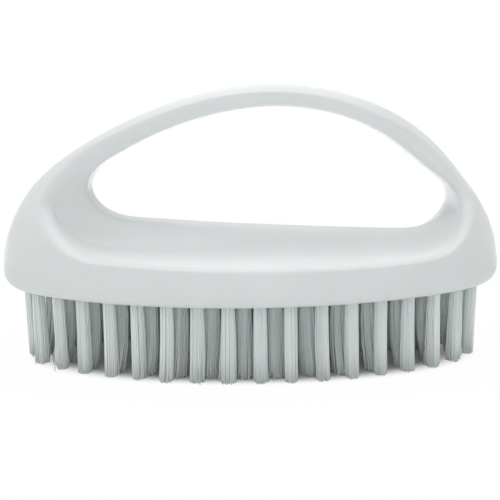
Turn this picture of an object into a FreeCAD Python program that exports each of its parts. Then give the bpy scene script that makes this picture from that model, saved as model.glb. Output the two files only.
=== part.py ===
import FreeCAD, Part
import math
import os

# Nail brush: a moulded block with a loop handle, and tufts held in blind holes by flat metal anchors.
# It stands on its tuft tips at Z = 0, with X along the brush and Y across it.

# Overall sizes in millimetres
brush_length = 95.0
brush_width = 38.6
brush_height = 51.65
tuft_free_length = 14.3
overrun = 5.0

# Block: an oval with drawn-in shoulders, an upright wall, then a dome whose crown leans towards +X
shoulder_share = 0.038
dome_pinch_share = 0.10
dome_close_share = 0.983
wall_height = 2.7
lower_edge_radius = 3.2
crown_lean = 4.0
lean_drop = 18.65

# Finger window in the middle plane: distances to its four sides from the ends, crown and underside
window_left_arm = 17.45
window_right_arm = 9.3
window_crown = 3.95
window_sill = 10.0

# Recess on both faces, which leaves the handle as a strap and the block's top as a ledge
recess_left_arm = 12.2
recess_right_arm = 8.7
recess_crown = 1.9
ledge_height = 7.3

# Flare from the window's lip out to the recess, measured from the middle plane
lip_reach = 1.5
strap_flare_reach = 6.3
ledge_flare_reach = 11.5

# Tufts: rings that follow the oval, then straight rows inside them
rim_inset = 4.5
ring_step = 4.3
row_gap = 3.6
outer_pitch = 5.45
second_pitch = 5.73
row_pitch = 5.45
ring_phase_share = 0.55
hole_diameter = 2.3
hole_depth = 5.0
tuft_tip_diameter = 2.5
tuft_fit = 0.03

# Anchors: small flat plates along X, with the tuft folded over their upper edge
anchor_thickness = 0.35
anchor_height = 1.6
anchor_bite = 0.25
fold_height = 0.6

# Number of points and sections that the smooth surfaces pass through
oval_points = 32
dome_sections = 14
flare_sections = 24
ring_samples = 2000

# Stations round the opening, from the crown towards -X and back over the sill. Each row holds
# the window's place along and up its own box, the recess's place in its box, and the flare's
# place between the strap's reach and the ledge's.
opening_shares = [
    (0.499, 1.000, 0.519, 1.000, 0.0),
    (0.308, 0.917, 0.340, 0.938, 0.0),
    (0.177, 0.782, 0.214, 0.827, 0.0),
    (0.083, 0.647, 0.124, 0.723, 0.0),
    (0.024, 0.530, 0.046, 0.576, 0.0),
    (0.000, 0.389, 0.000, 0.377, 0.0),
    (0.015, 0.265, 0.009, 0.235, 0.0),
    (0.065, 0.160, 0.065, 0.089, 0.0),
    (0.162, 0.113, 0.180, 0.030, 0.2),
    (0.308, 0.079, 0.334, 0.014, 0.6),
    (0.499, 0.045, 0.519, 0.005, 0.9),
    (0.689, 0.017, 0.705, 0.000, 1.0),
    (0.850, 0.000, 0.864, 0.004, 0.8),
    (0.947, 0.036, 0.956, 0.060, 0.5),
    (1.000, 0.184, 0.997, 0.217, 0.3),
    (0.996, 0.308, 1.000, 0.334, 0.1),
    (0.933, 0.494, 0.940, 0.563, 0.0),
    (0.821, 0.744, 0.828, 0.776, 0.0),
    (0.667, 0.942, 0.680, 0.947, 0.0),
]

# Sizes that follow from the ones above
half_length = brush_length / 2
half_width = brush_width / 2
underside = tuft_free_length
hole_top = underside + hole_depth
anchor_top = hole_top - fold_height
anchor_length = hole_diameter + 2 * anchor_bite


def ease(share):
    """Smooth step that rises from 0 to 1."""
    share = min(max(share, 0.0), 1.0)
    return share * share * (3 - 2 * share)


def oval(reach_x, reach_y, turn_share):
    """Point of the plan's oval: an ellipse drawn in at its four shoulders."""
    angle = 2 * math.pi * turn_share
    drawn = 1 - shoulder_share * math.sin(2 * angle) ** 2
    return reach_x * math.cos(angle) * drawn, reach_y * math.sin(angle) * drawn


def closed_curve(points, parameters):
    """Smooth closed wire through the points."""
    curve = Part.BSplineCurve()
    curve.interpolate(Points=points, PeriodicFlag=True, Parameters=parameters)
    return Part.Wire([curve.toShape()])


def oval_wire(centre_x, reach_x, reach_y, z):
    """The plan's oval at one height."""
    turns = [k / oval_points for k in range(oval_points + 1)]
    places = [oval(reach_x, reach_y, turn) for turn in turns[:-1]]
    points = [FreeCAD.Vector(centre_x + x, y, z) for x, y in places]
    return closed_curve(points, turns)


def domed_block():
    """Oval wall that closes in a dome, before the handle is opened up."""
    dome_base = underside + wall_height
    dome_rise = brush_height - dome_base
    sections = [oval_wire(0, half_length, half_width, underside)]
    for k in range(dome_sections + 1):
        angle = math.pi / 2 * dome_close_share * k / dome_sections
        z = dome_base + dome_rise * math.sin(angle)
        pinch = 1 - dome_pinch_share * math.sin(angle) ** 2
        lean = crown_lean * ease(1 - (brush_height - z) / lean_drop)
        reach_x = half_length * math.cos(angle) * pinch
        reach_y = half_width * math.cos(angle)
        sections.append(oval_wire(lean, reach_x, reach_y, z))
    return Part.makeLoft(sections, True, False)


def opening_stations():
    """Window point, recess point and flare reach at each station round the opening."""
    window_length = brush_length - window_left_arm - window_right_arm
    window_rise = brush_height - window_crown - underside - window_sill
    recess_length = brush_length - recess_left_arm - recess_right_arm
    recess_rise = brush_height - recess_crown - underside - ledge_height
    stations = []
    for window_along, window_up, recess_along, recess_up, flare_share in opening_shares:
        window_x = window_left_arm - half_length + window_length * window_along
        window_z = underside + window_sill + window_rise * window_up
        recess_x = recess_left_arm - half_length + recess_length * recess_along
        recess_z = underside + ledge_height + recess_rise * recess_up
        reach = strap_flare_reach + (ledge_flare_reach - strap_flare_reach) * flare_share
        stations.append((window_x, window_z, recess_x, recess_z, reach))
    return stations


def opening_tool():
    """The finger window with its flare and the recess on both faces, as one set of cutters."""
    stations = opening_stations()
    walk = [0.0]
    for start, end in zip(stations, stations[1:] + stations[:1]):
        walk.append(walk[-1] + math.hypot(end[0] - start[0], end[1] - start[1]))
    parameters = [step / walk[-1] for step in walk]
    farthest = max(strap_flare_reach, ledge_flare_reach)

    def section(y):
        points = []
        for window_x, window_z, recess_x, recess_z, reach in stations:
            flare = ease((abs(y) - lip_reach) / (reach - lip_reach))
            x = window_x + (recess_x - window_x) * flare
            z = window_z + (recess_z - window_z) * flare
            points.append(FreeCAD.Vector(x, y, z))
        return closed_curve(points, parameters)

    places = [farthest * (2 * k / flare_sections - 1) for k in range(flare_sections + 1)]
    flare_loft = Part.makeLoft([section(y) for y in places], True, False)
    outward = max(half_width - farthest, 0) + overrun
    front = Part.Face(section(-farthest)).extrude(FreeCAD.Vector(0, -outward, 0))
    back = Part.Face(section(farthest)).extrude(FreeCAD.Vector(0, outward, 0))
    return [flare_loft, front, back]


def ring_places(inset, pitch):
    """Evenly spaced places on an oval that lies inside the rim by the inset."""
    turns = [k / ring_samples for k in range(ring_samples + 1)]
    points = [oval(half_length - inset, half_width - inset, turn) for turn in turns]
    walk = [0.0]
    for start, end in zip(points, points[1:]):
        walk.append(walk[-1] + math.dist(start, end))
    count = max(round(walk[-1] / pitch), 1)
    places = []
    k = 0
    for walked, point in zip(walk, points):
        if k < count and walked >= walk[-1] * (k + ring_phase_share) / count:
            places.append(point)
            k += 1
    return places


def row_places(inset, pitch):
    """Straight rows inside the ring at the inset, each stopping where the ring comes near."""
    reach_x = half_length - inset
    reach_y = half_width - inset
    side_rows = max(round(reach_y / ring_step) - 1, 0)
    row_step = reach_y / (side_rows + 1)
    places = []
    for row in range(-side_rows, side_rows + 1):
        nearest = (abs(row) * row_step + row_gap) / reach_y
        if nearest < 1:
            half_row = min(reach_x * math.sqrt(1 - nearest ** 2), reach_x - row_gap)
            gaps = int(2 * half_row / pitch)
            places += [((k - gaps / 2) * pitch, row * row_step) for k in range(gaps + 1)]
    return places


def anchor():
    """Flat plate at the origin that holds one tuft and bites the hole's wall at both ends."""
    corner = FreeCAD.Vector(-anchor_length / 2, -anchor_thickness / 2, anchor_top - anchor_height)
    return Part.makeBox(anchor_length, anchor_thickness, anchor_height, corner)


def socket():
    """Blind hole and the bite of its anchor, as a cutter at the origin."""
    mouth = FreeCAD.Vector(0, 0, underside - overrun)
    hole = Part.makeCylinder(hole_diameter / 2, hole_depth + overrun, mouth)
    return hole.fuse(anchor())


def tuft():
    """Folded bundle at the origin: a round root in the hole, spreading a little to a flat trimmed end."""
    root_radius = hole_diameter / 2 - tuft_fit
    root = Part.makeCylinder(root_radius, hole_depth, FreeCAD.Vector(0, 0, underside))
    spread = Part.makeCone(tuft_tip_diameter / 2, root_radius, tuft_free_length)
    return root.fuse(spread).removeSplitter().cut(anchor())


def at_places(shape, places):
    """Copies of a shape at each place."""
    return [shape.translated(FreeCAD.Vector(x, y, 0)) for x, y in places]


def brush_body(places):
    """Block with its handle, rounded lower edge and all the tuft holes."""
    block = domed_block().cut(opening_tool())
    lower_edge = [edge for edge in block.Edges if edge.BoundBox.ZMax < underside + lower_edge_radius / 2]
    return block.makeFillet(lower_edge_radius, lower_edge).cut(at_places(socket(), places))


outer_places = ring_places(rim_inset, outer_pitch)
second_places = ring_places(rim_inset + ring_step, second_pitch)
inner_places = row_places(rim_inset + ring_step, row_pitch)

nodes = {"brush_body": brush_body(outer_places + second_places + inner_places)}
for number, shape in enumerate(at_places(tuft(), outer_places), 1):
    nodes[f"outer_tuft_{number:02d}"] = shape
nodes["second_ring_tufts"] = Part.makeCompound(at_places(tuft(), second_places))
nodes["inner_row_tufts"] = Part.makeCompound(at_places(tuft(), inner_places))
nodes["outer_ring_anchors"] = Part.makeCompound(at_places(anchor(), outer_places))
nodes["second_ring_anchors"] = Part.makeCompound(at_places(anchor(), second_places))
nodes["inner_row_anchors"] = Part.makeCompound(at_places(anchor(), inner_places))

os.makedirs("parts", exist_ok=True)
for name, shape in nodes.items():
    shape.exportStep(f"parts/{name}.step")
print(len(nodes), "nodes,", len(outer_places), "+", len(second_places), "+", len(inner_places), "tufts")
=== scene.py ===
import bmesh
import bpy
import numpy as np
from mathutils import Matrix, Vector


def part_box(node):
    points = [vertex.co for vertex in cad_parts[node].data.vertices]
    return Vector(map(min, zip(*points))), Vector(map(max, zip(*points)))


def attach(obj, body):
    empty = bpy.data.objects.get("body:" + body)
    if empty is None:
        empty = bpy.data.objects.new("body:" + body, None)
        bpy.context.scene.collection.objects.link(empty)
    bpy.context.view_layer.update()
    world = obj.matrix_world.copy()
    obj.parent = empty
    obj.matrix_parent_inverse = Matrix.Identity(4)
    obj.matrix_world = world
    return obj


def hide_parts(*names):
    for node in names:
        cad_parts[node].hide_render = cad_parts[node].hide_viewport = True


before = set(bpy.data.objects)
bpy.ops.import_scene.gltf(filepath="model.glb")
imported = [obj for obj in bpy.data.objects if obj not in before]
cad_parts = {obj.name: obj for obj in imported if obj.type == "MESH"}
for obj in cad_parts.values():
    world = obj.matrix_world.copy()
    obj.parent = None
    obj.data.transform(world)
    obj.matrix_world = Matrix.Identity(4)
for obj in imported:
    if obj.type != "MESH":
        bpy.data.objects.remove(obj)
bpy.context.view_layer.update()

# The block and its loop handle: one injection moulding in pale grey polypropylene, satin from
# the mould. A domed oval is opened by a finger window, whose lip flares out into a recess on
# both faces, so that the arch is left as a strap and the block's top as a ledge.
body_low, body_high = (np.array(corner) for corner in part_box("brush_body"))
half_length = min(-body_low[0], body_high[0])
half_width = min(-body_low[1], body_high[1])
underside = body_low[2]
crown = body_high[2]
shoulder_share = 0.038
dome_pinch_share = 0.10
wall_height = 0.0027
lower_edge_radius = 0.0032
crown_lean = 0.0040
lean_drop = 0.01865
least_reach = 1e-9

# Distances to the window's and the recess's four sides from the block's ends, underside and crown
window_left_arm = 0.01745
window_right_arm = 0.0093
window_sill_rise = 0.0100
window_crown_drop = 0.00395
recess_left_arm = 0.0122
recess_right_arm = 0.0087
ledge_rise = 0.0073
recess_crown_drop = 0.0019
window_left, window_right = -half_length + window_left_arm, half_length - window_right_arm
window_sill, window_top = underside + window_sill_rise, crown - window_crown_drop
recess_left, recess_right = -half_length + recess_left_arm, half_length - recess_right_arm
ledge, recess_top = underside + ledge_rise, crown - recess_crown_drop

# The flare from the lip to the recess, the rounded crease at its rim and the middle of the opening
lip_reach = 0.0015
strap_flare_reach = 0.0063
ledge_flare_reach = 0.0115
crisp_setback = 0.0011
soft_setback = 0.0035
largest_turn_share = 0.55
turn_pull_share = 0.40
nudge_share = 0.01
middle_drop = 0.0054

# Stations round the opening, from the crown towards -X and back over the sill: the window's
# place along and up its own box, the recess's place in its box, the flare's place between the
# strap's reach and the ledge's, and the crease's place between crisp and soft.
opening_shares = np.array([
    (0.499, 1.000, 0.519, 1.000, 0.0, 0.05),
    (0.308, 0.917, 0.340, 0.938, 0.0, 0.05),
    (0.177, 0.782, 0.214, 0.827, 0.0, 0.10),
    (0.083, 0.647, 0.124, 0.723, 0.0, 0.20),
    (0.024, 0.530, 0.046, 0.576, 0.0, 0.60),
    (0.000, 0.389, 0.000, 0.377, 0.0, 0.80),
    (0.015, 0.265, 0.009, 0.235, 0.0, 0.85),
    (0.065, 0.160, 0.065, 0.089, 0.0, 0.75),
    (0.162, 0.113, 0.180, 0.030, 0.2, 0.45),
    (0.308, 0.079, 0.334, 0.014, 0.6, 0.10),
    (0.499, 0.045, 0.519, 0.005, 0.9, 0.00),
    (0.689, 0.017, 0.705, 0.000, 1.0, 0.00),
    (0.850, 0.000, 0.864, 0.004, 0.8, 0.05),
    (0.947, 0.036, 0.956, 0.060, 0.5, 0.20),
    (1.000, 0.184, 0.997, 0.217, 0.3, 0.55),
    (0.996, 0.308, 1.000, 0.334, 0.1, 0.75),
    (0.933, 0.494, 0.940, 0.563, 0.0, 0.75),
    (0.821, 0.744, 0.828, 0.776, 0.0, 0.45),
    (0.667, 0.942, 0.680, 0.947, 0.0, 0.15),
])

# How finely the curves are sampled, and the rows and columns of the block's surface
oval_samples = 4001
walk_samples = 2001
halvings = 50
section_count = 340
lip_points = 30
round_points = 13
skin_points = 34
base_points = 8


def ease(share):
    """Smooth step: 3 s^2 - 2 s^3 between 0 and 1."""
    share = np.clip(share, 0.0, 1.0)
    return share * share * (3 - 2 * share)


def closed_spline(knots, values, at):
    """Closed cubic spline: the second derivatives at the knots solve the ring of equations that
    makes the slope continuous, and each span is then the cubic between its two knots."""
    span = np.diff(knots)
    before = np.roll(span, 1)
    steps = (np.roll(values, -1, 0) - values) / span[:, None]
    ring = np.diag(2 * (span + before))
    index = np.arange(len(span))
    ring[index, index - 1] += before
    ring[index, (index + 1) % len(span)] += span
    bend = np.linalg.solve(ring, 6 * (steps - np.roll(steps, 1, 0)))
    knot = np.clip(np.searchsorted(knots, at, side="right") - 1, 0, len(span) - 1)
    after = (knot + 1) % len(span)
    width = span[knot][:, None]
    gone = (at - knots[knot])[:, None]
    left = (span[knot] - at + knots[knot])[:, None]
    cubic = (bend[knot] * left**3 + bend[after] * gone**3) / (6 * width)
    start = values[knot] / width - bend[knot] * width / 6
    end = values[after] / width - bend[after] * width / 6
    return cubic + start * left + end * gone


def dome_reach(z):
    """Middle, half length and half width of the block's oval at a height: a quarter ellipse up to
    the crown, pinched a little along X, drawn in by the lower edge's radius near the underside."""
    base = underside + wall_height
    rise = np.clip((z - base) / (crown - base), 0.0, 1.0)
    fall = np.sqrt(1 - rise**2)
    below = np.clip(lower_edge_radius - (z - underside), 0.0, lower_edge_radius)
    drawn = lower_edge_radius - np.sqrt(lower_edge_radius**2 - below**2)
    middle = crown_lean * ease(1 - (crown - z) / lean_drop)
    reach_x = half_length * fall * (1 - dome_pinch_share * rise**2) - drawn
    return middle, np.maximum(reach_x, least_reach), half_width * fall - drawn


def dome_half_width(x, z):
    """Half width of the block at a place in the middle plane. The oval is an ellipse drawn in at
    its shoulders: x = a cos t (1 - s sin^2 2t), y = b sin t (1 - s sin^2 2t)."""
    middle, reach_x, reach_y = dome_reach(z)
    t = np.linspace(np.pi, 0.0, oval_samples)
    along = np.cos(t) * (1 - shoulder_share * np.sin(2 * t) ** 2)
    turn = np.interp(np.clip((x - middle) / reach_x, -1, 1), along, t)
    return reach_y * np.sin(turn) * (1 - shoulder_share * np.sin(2 * turn) ** 2)


def inside_outline(x, z):
    """True where a place in the middle plane lies within the block's outline: between the
    underside and the crown, and no further from the oval's middle than its half length."""
    middle, reach_x, _ = dome_reach(z)
    return (z > underside) & (z < crown) & (np.abs(x - middle) < reach_x)


def halve(low, high, holds):
    """Interval halving on whole arrays: the last place from low to high where holds is still true."""
    for _ in range(halvings):
        middle = (low + high) / 2
        good = holds(middle)
        low, high = np.where(good, middle, low), np.where(good, high, middle)
    return low


def opening_curves(at):
    """Window, recess, flare reach and crease setback at shares of the way round the opening: closed
    splines through the stations, with knots at the length walked along the window."""
    along, up, recess_along, recess_up, flare, soft = opening_shares.T
    window_x = window_left + (window_right - window_left) * along
    window_z = window_sill + (window_top - window_sill) * up
    recess_x = recess_left + (recess_right - recess_left) * recess_along
    recess_z = ledge + (recess_top - ledge) * recess_up
    reach = strap_flare_reach + (ledge_flare_reach - strap_flare_reach) * flare
    setback = crisp_setback + (soft_setback - crisp_setback) * soft
    values = np.column_stack([window_x, window_z, recess_x, recess_z, reach, setback])
    walk = np.hypot(*(np.roll(values[:, :2], -1, 0) - values[:, :2]).T)
    knots = np.concatenate([[0.0], np.cumsum(walk) / walk.sum()])
    return closed_spline(knots, values, at).T


def body_sections(at, lip_points, round_points, skin_points, base_points):
    """Half sections of the block, one for each place round the opening. From the middle of the
    lip the section flares out with y to the crease, where the flare meets the dome. It turns
    through a cubic curve there, follows the dome's skin along a ray from the opening's middle,
    and crosses the underside."""
    window_x, window_z, recess_x, recess_z, reach, setback = opening_curves(at)[:, :, None]
    centre_x = (window_left + window_right) / 2
    centre_z = (window_sill + recess_top) / 2 - middle_drop

    def flare(y):
        out = ease((y - lip_reach) / (reach - lip_reach))
        return window_x + (recess_x - window_x) * out, window_z + (recess_z - window_z) * out

    def lip(y):
        x, z = flare(y)
        return np.stack([x, y, z], -1)

    zero = np.zeros_like(window_x)
    crease_y = halve(zero, zero + 2 * half_width, lambda y: dome_half_width(*flare(y)) > y)
    crease_x, crease_z = flare(crease_y)
    ray = np.arctan2(crease_z - centre_z, crease_x - centre_x)

    def along_ray(distance):
        return centre_x + distance * np.cos(ray), centre_z + distance * np.sin(ray)

    far = halve(zero, zero + 2 * half_length, lambda distance: inside_outline(*along_ray(distance)))
    outer_x, outer_z = along_ray(far)

    def skin(share):
        x = crease_x + (outer_x - crease_x) * share
        z = crease_z + (outer_z - crease_z) * share
        return np.stack([x, dome_half_width(x, z), z], -1)

    def heading(start, end):
        return (end - start) / np.linalg.norm(end - start, axis=-1, keepdims=True)

    back = np.minimum(setback, crease_y / 2)
    lip_part = lip((crease_y - back) * np.linspace(0, 1, lip_points))
    speed = np.linalg.norm(skin(nudge_share) - lip(crease_y), axis=-1) / nudge_share
    start = np.arcsin(np.clip(setback / speed, 0.0, largest_turn_share))
    skin_part = skin(np.sin(start + (np.pi / 2 - start) * np.linspace(0, 1, skin_points)))
    lip_end, skin_start = lip_part[:, -1:], skin_part[:, :1]
    pull = turn_pull_share * np.linalg.norm(skin_start - lip_end, axis=-1, keepdims=True)
    lip_pull = lip_end + pull * heading(lip((crease_y - back) * (1 - nudge_share)), lip_end)
    skin_pull = skin_start - pull * heading(skin_start, skin(np.sin(start) + nudge_share))
    t = np.linspace(0, 1, round_points + 2)[1:-1, None]
    turned = ((1 - t) ** 3 * lip_end + 3 * t * (1 - t) ** 2 * lip_pull
              + 3 * t**2 * (1 - t) * skin_pull + t**3 * skin_start)
    across = np.linspace(1, 0, base_points + 1)[1:, None]
    base = skin_part[:, -1:] * np.concatenate([np.ones_like(across), across, np.ones_like(across)], 1)
    return np.concatenate([lip_part, turned, skin_part, base], 1)


def even_shares(count):
    """Shares of the way round at which the window, the crease and the outline are evenly covered:
    the lengths of these three paths are added up, and the sum is cut into equal steps."""
    fine = np.linspace(0, 1, walk_samples)
    coarse = body_sections(fine % 1.0, lip_points=2, round_points=1, skin_points=2, base_points=1)
    lip_start, crease_middle, skin_end = 0, 2, 4
    paths = coarse[:, [lip_start, crease_middle, skin_end]]
    walk = np.concatenate([[0.0], np.cumsum(np.linalg.norm(np.diff(paths, axis=0), axis=-1).sum(1))])
    return np.interp(np.arange(count) / count * walk[-1], walk, fine)


def new_piece(name, vertices, faces, material, smooth=True):
    """Mesh object at the origin from whole arrays of points and faces."""
    mesh = bpy.data.meshes.new(name)
    all_faces = [face for group in faces for face in group.tolist()]
    mesh.from_pydata(vertices.reshape(-1, 3).tolist(), [], all_faces)
    mesh.polygons.foreach_set("use_smooth", np.full(len(mesh.polygons), smooth))
    mesh.materials.append(material)
    piece = bpy.data.objects.new(name, mesh)
    bpy.context.scene.collection.objects.link(piece)
    return piece


def ring_quads(rows, columns):
    """Quads of a grid that closes on itself both ways."""
    i, j = np.meshgrid(np.arange(rows), np.arange(columns), indexing="ij")
    next_i, next_j = (i + 1) % rows, (j + 1) % columns
    corners = [i * columns + j, i * columns + next_j, next_i * columns + next_j, next_i * columns + j]
    return np.stack(corners, -1).reshape(-1, 4)


def linear(hex_colour):
    """sRGB hex to linear RGBA: a straight line in the darkest tones, a power of 2.4 above them."""
    srgb = np.array([int(hex_colour[k:k + 2], 16) for k in (0, 2, 4)]) / 255
    return (*np.where(srgb <= 0.04045, srgb / 12.92, ((srgb + 0.055) / 1.055) ** 2.4).tolist(), 1.0)


def add_node(tree, kind, settings, links):
    """One node: settings go to its properties or sockets, links join its sockets to other outputs."""
    node = tree.nodes.new(kind)
    for name, value in settings.items():
        if isinstance(name, str) and hasattr(node, name):
            setattr(node, name, value)
        else:
            node.inputs[name].default_value = value
    for name, source in links.items():
        tree.links.new(source, node.inputs[name])
    return node


def new_material(name):
    """Empty node material and its tree."""
    material = bpy.data.materials.new(name)
    material.use_nodes = True
    material.node_tree.nodes.clear()
    return material, material.node_tree


# Polypropylene from a spark-eroded mould: a soft satin sheen, a little light carried under the
# skin, and faint flow clouds in the grey. The grain is coarser than a real one, so that it shows.
flow_cloud_size = 0.014
cloud_shares = (0.35, 0.65)
cloud_greys = ("E2E6E6", "E5E9E9")
mould_grain_size = 0.00035
grain_height = 0.00005
grain_strength_share = 0.05
satin_roughness = (0.36, 0.46)
polypropylene_ior = 1.49
light_depth = 0.0016
light_depth_share = 0.10
polypropylene, tree = new_material("moulded_polypropylene")
place = add_node(tree, "ShaderNodeTexCoord", {}, {}).outputs["Object"]
clouds = add_node(tree, "ShaderNodeTexNoise", {"Scale": 1 / flow_cloud_size, "Detail": 2.0},
                  {"Vector": place})
grain = add_node(tree, "ShaderNodeTexNoise", {"Scale": 1 / mould_grain_size, "Detail": 1.0},
                 {"Vector": place})
tone = add_node(tree, "ShaderNodeValToRGB", {}, {"Fac": clouds.outputs["Fac"]})
for stop, share, grey in zip(tone.color_ramp.elements, cloud_shares, cloud_greys):
    stop.position = share
    stop.color = linear(grey)
gloss = add_node(tree, "ShaderNodeMapRange", {"To Min": satin_roughness[0], "To Max": satin_roughness[1]},
                 {"Value": grain.outputs["Fac"]})
bump = add_node(tree, "ShaderNodeBump", {"Strength": grain_strength_share, "Distance": grain_height},
                {"Height": grain.outputs["Fac"]})
plastic = add_node(tree, "ShaderNodeBsdfPrincipled",
                   {"IOR": polypropylene_ior, "Subsurface Weight": light_depth_share,
                    "Subsurface Radius": (light_depth,) * 3, "Subsurface Scale": 1.0},
                   {"Base Color": tone.outputs["Color"], "Roughness": gloss.outputs["Result"],
                    "Normal": bump.outputs["Normal"]})
add_node(tree, "ShaderNodeOutputMaterial", {}, {"Surface": plastic.outputs["BSDF"]})

# The other half of each section is its mirror image, and the sections close in a ring.
half_section = body_sections(even_shares(section_count), lip_points, round_points, skin_points, base_points)
mirrored = half_section[:, -2:0:-1] * (1, -1, 1)
whole_section = np.concatenate([half_section, mirrored], 1)
brush_body = new_piece("brush_block", whole_section, [ring_quads(*whole_section.shape[:2])], polypropylene)

# Away from the underside a section's last points fall together, so they become one.
merge_reach = 0.000002
joined = bmesh.new()
joined.from_mesh(brush_body.data)
bmesh.ops.remove_doubles(joined, verts=joined.verts, dist=merge_reach)
joined.to_mesh(brush_body.data)
joined.free()
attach(brush_body, "root")
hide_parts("brush_body")

# The anchors: short lengths of bright flat steel strip, cut from the coil and driven into the block's
# holes. Each holds a folded tuft and bites the hole's wall. They lie inside the block, so the solids stay.
strip_line_size = 0.00012
line_stretch_share = 0.05
strip_roughness = (0.25, 0.45)
strip_grey = "C9C8C4"

# Drawn strip steel: a bright grey metal with fine lines along the strip, coarser here than real ones.
strip_steel, tree = new_material("drawn_strip_steel")
place = add_node(tree, "ShaderNodeTexCoord", {}, {}).outputs["Object"]
drawn = add_node(tree, "ShaderNodeMapping", {"Scale": (line_stretch_share, 1.0, 1.0)}, {"Vector": place})
lines = add_node(tree, "ShaderNodeTexNoise", {"Scale": 1 / strip_line_size},
                 {"Vector": drawn.outputs["Vector"]})
gloss = add_node(tree, "ShaderNodeMapRange", {"To Min": strip_roughness[0], "To Max": strip_roughness[1]},
                 {"Value": lines.outputs["Fac"]})
steel = add_node(tree, "ShaderNodeBsdfPrincipled", {"Metallic": 1.0, "Base Color": linear(strip_grey)},
                 {"Roughness": gloss.outputs["Result"]})
add_node(tree, "ShaderNodeOutputMaterial", {}, {"Surface": steel.outputs["BSDF"]})
for name in ("outer_ring_anchors", "second_ring_anchors", "inner_row_anchors"):
    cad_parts[name].data.materials.clear()
    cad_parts[name].data.materials.append(strip_steel)

# The outer tufts: bundles of straight nylon filament, folded into their holes, spread a little
# towards the tips and trimmed level. They follow the oval just inside the block's lower edge.
filament_diameter = 0.0002
filaments_per_tuft = 150
filament_sides = 5
filament_rings = 4
hole_radius = 0.00115
tip_radius = 0.0013
root_depth = 0.0010
root_slack = filament_diameter / 8
spread_slack = 0.00008
fan_lean = 0.00045
tuft_lean = 0.00010
wander = 0.00003
stray_share = 0.03
stray_lean = 0.00040
trim_slack = 0.0013
golden_angle = np.pi * (3 - np.sqrt(5))
filament_seed = 7
draw = np.random.default_rng(filament_seed)


def tuft_filaments(places, tip_radius, splay):
    """Filaments of the tufts at these places, each a round profile carried down its path and capped
    at both ends. A path starts on a sunflower spiral across the hole. It moves outwards by the
    tuft's spread, as a quarter sine of its length, and leans with the square of its length: by the
    brush's fan (a sine along X), the ring's splay (square to the oval), the tuft's own lean and a
    small wander, and more where it is a stray one. It ends above the floor by the trim's slack times
    the cube of a random number."""
    shape = (len(places), filaments_per_tuft)
    rank = np.arange(filaments_per_tuft) + 0.5
    angle = rank * golden_angle + draw.uniform(0, 2 * np.pi, (len(places), 1))
    out = np.sqrt(rank / filaments_per_tuft)[:, None] * np.stack([np.cos(angle), np.sin(angle)], -1)
    root = out * (hole_radius - filament_diameter / 2) + draw.normal(0, root_slack, (*shape, 2))
    spread = tip_radius - hole_radius + draw.normal(0, spread_slack, (len(places), 1, 1))
    lean = draw.normal(0, tuft_lean, (len(places), 1, 2)) + draw.normal(0, wander, (*shape, 2))
    lean += draw.normal(0, stray_lean, (*shape, 2)) * (draw.random((*shape, 1)) < stray_share)
    lean[..., 0] += fan_lean * np.sin(np.pi * places[:, :1] / half_length)
    away = places / np.array([half_length, half_width]) ** 2
    away /= np.maximum(np.linalg.norm(away, axis=1, keepdims=True), np.finfo(float).eps)
    lean += splay * away[:, None]
    tip_z = trim_slack * draw.random(shape) ** 3
    along = np.linspace(0, 1, filament_rings)[:, None]
    flat = (places[:, None] + root)[:, :, None] + lean[:, :, None] * along**2
    flat += (out * spread)[:, :, None] * np.sin(along * np.pi / 2)
    height = underside + root_depth + (tip_z[:, :, None, None] - underside - root_depth) * along
    centre = np.concatenate([flat, height], -1)
    turn = np.linspace(0, 2 * np.pi, filament_sides, endpoint=False)
    circle = np.stack([np.cos(turn), np.sin(turn), 0 * turn], -1) * filament_diameter / 2
    vertices = centre[..., None, :] + circle
    first = np.arange(len(places) * filaments_per_tuft)[:, None] * filament_rings * filament_sides
    i, j = np.meshgrid(np.arange(filament_rings - 1), np.arange(filament_sides), indexing="ij")
    next_j = (j + 1) % filament_sides
    quad = np.stack([i * filament_sides + j, (i + 1) * filament_sides + j,
                     (i + 1) * filament_sides + next_j, i * filament_sides + next_j], -1).reshape(-1, 4)
    quads = (first[:, None] + quad).reshape(-1, 4)
    top = first + np.arange(filament_sides)
    tip = first + (filament_rings - 1) * filament_sides + np.arange(filament_sides)[::-1]
    return vertices, [quads, top, tip]


def new_tufts(name, places, nodes, tip_radius, splay):
    """One piece of filaments for these places, standing for these nodes, with a random tone for
    each filament."""
    vertices, faces = tuft_filaments(places, tip_radius, splay)
    piece = new_piece(name, vertices, faces, nylon)
    tones = np.repeat(draw.random(len(places) * filaments_per_tuft), filament_rings * filament_sides)
    attribute = piece.data.attributes.new("filament_tone", "FLOAT", "POINT")
    attribute.data.foreach_set("value", tones.astype(np.float32))
    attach(piece, "root")
    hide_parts(*nodes)


# Nylon 6 monofilament, melt-spun and drawn: milky white and smooth, with a soft sheen along it and
# small differences of tone from one filament to the next.
nylon_whites = ("F1FAF9", "F8FDFC")
nylon_roughness = (0.30, 0.42)
nylon_ior = 1.53
nylon, tree = new_material("drawn_nylon_filament")
tone = add_node(tree, "ShaderNodeAttribute", {"attribute_name": "filament_tone"}, {})
shade = add_node(tree, "ShaderNodeValToRGB", {}, {"Fac": tone.outputs["Fac"]})
for stop, white in zip(shade.color_ramp.elements, nylon_whites):
    stop.color = linear(white)
gloss = add_node(tree, "ShaderNodeMapRange", {"To Min": nylon_roughness[0], "To Max": nylon_roughness[1]},
                 {"Value": tone.outputs["Fac"]})
filament = add_node(tree, "ShaderNodeBsdfPrincipled", {"IOR": nylon_ior},
                    {"Base Color": shade.outputs["Color"], "Roughness": gloss.outputs["Result"]})
add_node(tree, "ShaderNodeOutputMaterial", {}, {"Surface": filament.outputs["BSDF"]})

for name in sorted(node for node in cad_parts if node.startswith("outer_tuft_")):
    low, high = (np.array(corner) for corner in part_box(name))
    new_tufts(name.replace("tuft", "bristle"), (low + high)[None, :2] / 2, [name], tip_radius, 0.0)

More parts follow.
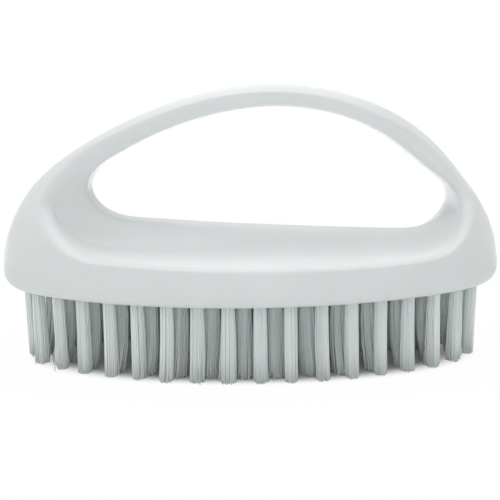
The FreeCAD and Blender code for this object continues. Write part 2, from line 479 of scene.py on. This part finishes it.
# The second ring of tufts: the same nylon bundles, set in their holes one step further in. They
# splay out into the gaps of the outer ring and fill them.
second_tip_radius = 0.0019
second_splay = 0.0018
rim_inset = 0.0045
ring_step = 0.0043
second_ring_count = 29
ring_phase_share = 0.55


def ring_places(inset, count):
    """Evenly spaced places on the oval that lies inside the rim by the inset, starting a share of
    a pitch from +X: the length walked along the oval is cut into equal steps."""
    t = np.linspace(0, 2 * np.pi, oval_samples)
    drawn = 1 - shoulder_share * np.sin(2 * t) ** 2
    x, y = (half_length - inset) * np.cos(t) * drawn, (half_width - inset) * np.sin(t) * drawn
    walk = np.concatenate([[0.0], np.cumsum(np.hypot(np.diff(x), np.diff(y)))])
    at = (np.arange(count) + ring_phase_share) / count * walk[-1]
    return np.column_stack([np.interp(at, walk, x), np.interp(at, walk, y)])


second_places = ring_places(rim_inset + ring_step, second_ring_count)
new_tufts("second_ring_bristles", second_places, ["second_ring_tufts"], second_tip_radius, second_splay)

# The inner rows: three straight rows of the same nylon bundles, each folded over its anchor in a hole
# of its own. They fill the oval inside the second ring.
row_pitch = 0.00545
row_step = (half_width - rim_inset - ring_step) / 2
row_counts = {-1: 8, 0: 13, 1: 8}
rows = [np.column_stack([(np.arange(count) - (count - 1) / 2) * row_pitch, np.full(count, row * row_step)])
        for row, count in row_counts.items()]
new_tufts("inner_row_bristles", np.concatenate(rows), ["inner_row_tufts"], tip_radius, 0.0)

# The studio floor: a wide sheet of white paper. To the camera it is mostly its own white, so that
# it meets the white behind it, and under the brush it keeps the shadow among the tufts. From below
# it is clear, so that the tips can be seen.
floor_reach = 3.0
paper_white = "F2F2F2"
paper_white_share = 0.970
shade_inner_share, shade_outer_share, shade_end_share = 0.82, 1.03, 1.80
tips_x, tips_y = half_length - rim_inset + tip_radius, half_width - rim_inset + tip_radius
plain_white = linear("FFFFFF")


def seen_directly(tree):
    """Output that is 1 for camera, glossy and transmission rays: the largest of the three flags."""
    path = add_node(tree, "ShaderNodeLightPath", {}, {})
    either = add_node(tree, "ShaderNodeMath", {"operation": "MAXIMUM"},
                      {0: path.outputs["Is Camera Ray"], 1: path.outputs["Is Glossy Ray"]})
    seen = add_node(tree, "ShaderNodeMath", {"operation": "MAXIMUM"},
                    {0: either.outputs["Value"], 1: path.outputs["Is Transmission Ray"]})
    return seen.outputs["Value"]


# Matt white paper: near the tips it takes the shade of the brush, and further out it is plain white.
paper, tree = new_material("white_paper")
place = add_node(tree, "ShaderNodeTexCoord", {}, {}).outputs["Object"]
oval = add_node(tree, "ShaderNodeMapping", {"Scale": (1 / tips_x, 1 / tips_y, 1.0)}, {"Vector": place})
away = add_node(tree, "ShaderNodeVectorMath", {"operation": "LENGTH"}, {0: oval.outputs["Vector"]})
near = add_node(tree, "ShaderNodeMapRange",
                {"interpolation_type": "SMOOTHSTEP", "From Min": shade_inner_share,
                 "From Max": shade_outer_share, "To Max": paper_white_share},
                {"Value": away.outputs["Value"]})
far = add_node(tree, "ShaderNodeMapRange",
               {"interpolation_type": "SMOOTHSTEP", "From Min": shade_outer_share,
                "From Max": shade_end_share, "To Max": 1 - paper_white_share},
               {"Value": away.outputs["Value"]})
clear = add_node(tree, "ShaderNodeMath", {"operation": "ADD"},
                 {0: near.outputs["Result"], 1: far.outputs["Result"]})
share = add_node(tree, "ShaderNodeMath", {"operation": "MULTIPLY"},
                 {0: seen_directly(tree), 1: clear.outputs["Value"]})
sheet = add_node(tree, "ShaderNodeBsdfDiffuse", {"Color": linear(paper_white)}, {})
own_white = add_node(tree, "ShaderNodeEmission", {"Color": plain_white, "Strength": 1.0}, {})
upper = add_node(tree, "ShaderNodeMixShader", {},
                 {0: share.outputs["Value"], 1: sheet.outputs["BSDF"], 2: own_white.outputs["Emission"]})
facing = add_node(tree, "ShaderNodeNewGeometry", {}, {})
lower = add_node(tree, "ShaderNodeBsdfTransparent", {}, {})
sided = add_node(tree, "ShaderNodeMixShader", {},
                 {0: facing.outputs["Backfacing"], 1: upper.outputs["Shader"], 2: lower.outputs["BSDF"]})
add_node(tree, "ShaderNodeOutputMaterial", {}, {"Surface": sided.outputs["Shader"]})
corners = np.array([(-1, -1, 0), (1, -1, 0), (1, 1, 0), (-1, 1, 0)]) * floor_reach
floor = new_piece("floor", corners, [np.array([(0, 1, 2, 3)])], paper, smooth=False)

# The light: a large soft box overhead, weaker ones on all four sides, a dim surround, and two unseen
# panels flat on the table behind and before the brush. What faces up is the brightest, what faces
# forward is a soft grey, and the panels lift what faces down.
surround_strength = 0.36
world = bpy.data.worlds.new("white_surround")
bpy.context.scene.world = world
world.use_nodes = True
tree = world.node_tree
tree.nodes.clear()
surround = add_node(tree, "ShaderNodeBackground", {"Color": plain_white, "Strength": surround_strength}, {})
behind = add_node(tree, "ShaderNodeBackground", {"Color": plain_white, "Strength": 1.0}, {})
mixed = add_node(tree, "ShaderNodeMixShader", {},
                 {0: seen_directly(tree), 1: surround.outputs["Background"], 2: behind.outputs["Background"]})
add_node(tree, "ShaderNodeOutputWorld", {}, {"Surface": mixed.outputs["Shader"]})


def soft_box(name, place, aim, size, power):
    """Area lamp at a place, turned to shine on the aim."""
    lamp = bpy.data.lights.new(name, "AREA")
    lamp.shape, lamp.energy = "RECTANGLE", power
    lamp.size, lamp.size_y = size
    box = bpy.data.objects.new(name, lamp)
    bpy.context.scene.collection.objects.link(box)
    box.location = place
    box.rotation_euler = (Vector(aim) - box.location).to_track_quat("-Z", "Y").to_euler()
    return box


# Place, side and power in watts of each box, all turned to the middle of the brush
brush_middle = (0.0, 0.0, 0.03)
soft_boxes = {
    "overhead_box": ((0.0, 0.0, 0.70), 0.60, 2.55),
    "back_box": ((0.0, 0.60, 0.45), 0.50, 0.50),
    "front_box": ((0.0, -0.60, 0.06), 0.40, 0.52),
    "left_box": ((-0.60, -0.15, 0.40), 0.50, 0.62),
    "right_box": ((0.60, -0.15, 0.40), 0.50, 0.32),
}
for name, (place, side, power) in soft_boxes.items():
    soft_box(name, place, brush_middle, (side, side), power)

# Place along Y, length and power in watts of each panel, all facing up just clear of the floor
panel_clearance = 0.0005
panel_depth = 0.30
table_panels = {"back_panel": (0.21, 0.60, 0.60), "front_panel": (-0.19, 0.50, 0.12)}
for name, (place_y, length, power) in table_panels.items():
    panel = soft_box(name, (0.0, place_y, panel_clearance), (0.0, place_y, 1.0), (length, panel_depth), power)
    panel.visible_camera = False

# The camera: close in front of the brush, a little below the handle's crown, tipped down to the
# middle of the brush. Its angles are in degrees, and its focal length is in the photo's pixels.
photo_width = 500
focal_pixels = 637
sensor_width = 36.0
nearest_share = 0.01
eye_distance = 0.1200
eye_height = 0.0485
eye_aside = 0.00006
tip_down_degrees, aside_degrees, roll_degrees = 13.06, 0.38, -0.80
look_down, look_aside, roll = np.radians([tip_down_degrees, aside_degrees, roll_degrees])
camera_data = bpy.data.cameras.new("camera")
camera_data.sensor_width = sensor_width
camera_data.lens = sensor_width * focal_pixels / photo_width
camera_data.clip_start = eye_distance * nearest_share
camera = bpy.data.objects.new("camera", camera_data)
bpy.context.scene.collection.objects.link(camera)
level = np.array([-np.sin(look_aside), np.cos(look_aside), 0.0])
right = np.array([np.cos(look_aside), np.sin(look_aside), 0.0])
forward = level * np.cos(look_down) - np.array([0.0, 0.0, np.sin(look_down)])
up = np.cross(right, forward)
turned_right = right * np.cos(roll) + up * np.sin(roll)
turned_up = up * np.cos(roll) - right * np.sin(roll)
eye = np.array([eye_aside, 0.0, eye_height]) - level * eye_distance
axes = np.column_stack([turned_right, turned_up, -forward, eye])
camera.matrix_world = Matrix(np.vstack([axes, (0, 0, 0, 1)]).tolist())
bpy.context.scene.camera = camera
bpy.context.scene.view_settings.view_transform = "Standard"
